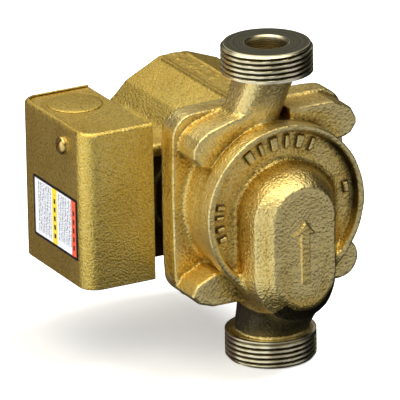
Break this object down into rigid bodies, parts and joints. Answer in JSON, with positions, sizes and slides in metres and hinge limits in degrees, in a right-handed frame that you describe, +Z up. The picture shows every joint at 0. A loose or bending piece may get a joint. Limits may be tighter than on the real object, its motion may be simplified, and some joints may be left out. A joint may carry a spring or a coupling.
{
  "type": "circulator pump",
  "caption": "In-line hot-water circulator: bronze pump housing with threaded union ports, canned motor behind it and a side terminal box.",
  "frame": {"origin": "centre of the lower (inlet) port face, where the inlet union's gasket sits", "axes": "+Z up along the port axis and the flow, +Y along the motor axis away from the flow arrow, -X towards the terminal box"},
  "size_m": [0.1283, 0.1361, 0.15],
  "materials": {
    "cast_bronze": "shot-blasted casting",
    "gold_paint": "metallic texture paint",
    "stainless": "pressed",
    "zinc_plate": "zinc plated",
    "brass_turned": "turned",
    "rubber_seal": "moulded",
    "carbon": "ground",
    "ceramic": "ground",
    "copper_winding": "varnished",
    "core_steel": "laminated",
    "grey_plastic": "moulded",
    "white_plastic": "moulded",
    "composite": "moulded",
    "label_film": "printed film",
    "lead_insulation": "silicone"
  },
  "bodies": {
    "pump_body": {"pump_housing": "cast_bronze", "neck_ring": "stainless", "housing_gasket": "rubber_seal", "bearing_plate": "stainless", "front_bearing": "ceramic", "rotor_can": "stainless", "rear_bearing": "ceramic", "motor_housing": "gold_paint", "stator_core": "core_steel", "stator_windings": "copper_winding", "motor_screws": "zinc_plate", "rear_plate": "stainless", "lead_grommet": "rubber_seal", "stator_leads": "lead_insulation", "terminal_base": "gold_paint", "base_screws": "zinc_plate", "cover_pillar": "zinc_plate", "terminal_block": "grey_plastic", "terminal_screws": "brass_turned", "capacitor": "white_plastic", "capacitor_clip": "stainless", "earth_screw": "brass_turned", "conduit_blank": "gold_paint"},
    "rotor": {"impeller": "composite", "impeller_lock": "stainless", "shaft": "ceramic", "rotor_core": "core_steel", "rotor_sleeve": "stainless", "thrust_bearing": "carbon", "thrust_mount": "rubber_seal"},
    "vent_seal": {"vent_gasket": "rubber_seal"},
    "vent_plug": {"vent_plug": "brass_turned"},
    "cover": {"terminal_cover": "gold_paint", "cover_label": "label_film"},
    "cover_washer": {"cover_screw_washer": "zinc_plate"},
    "cover_screw": {"cover_screw": "zinc_plate"}
  },
  "joints": [
    {"name": "rotor_spin", "type": "hinge", "parent": "pump_body", "child": "rotor", "pos_m": [0, 0, 0.075], "axis": [0, 1, 0], "continuous": true},
    {"name": "vent_slide", "type": "slide", "parent": "pump_body", "child": "vent_seal", "axis": [0, 1, 0], "range_m": [0, 0.005]},
    {"name": "vent_turn", "type": "hinge", "parent": "vent_seal", "child": "vent_plug", "pos_m": [0, 0.0954, 0.075], "axis": [0, 1, 0], "range_deg": [0, 1801]},
    {"name": "cover_slide", "type": "slide", "parent": "pump_body", "child": "cover", "axis": [-1, 0, 0], "range_m": [0, 0.045]},
    {"name": "cover_screw_slide", "type": "slide", "parent": "cover", "child": "cover_washer", "axis": [-1, 0, 0], "range_m": [0, 0.0056]},
    {"name": "cover_screw_turn", "type": "hinge", "parent": "cover_washer", "child": "cover_screw", "pos_m": [-0.0815, 0.0439, 0.1023], "axis": [-1, 0, 0], "range_deg": [0, 2881]}
  ],
  "couplings": [
    {"joint": "vent_turn", "follows": "vent_slide", "rad_per_m": 6283.2},
    {"joint": "cover_screw_turn", "follows": "cover_screw_slide", "rad_per_m": 8976}
  ]
}
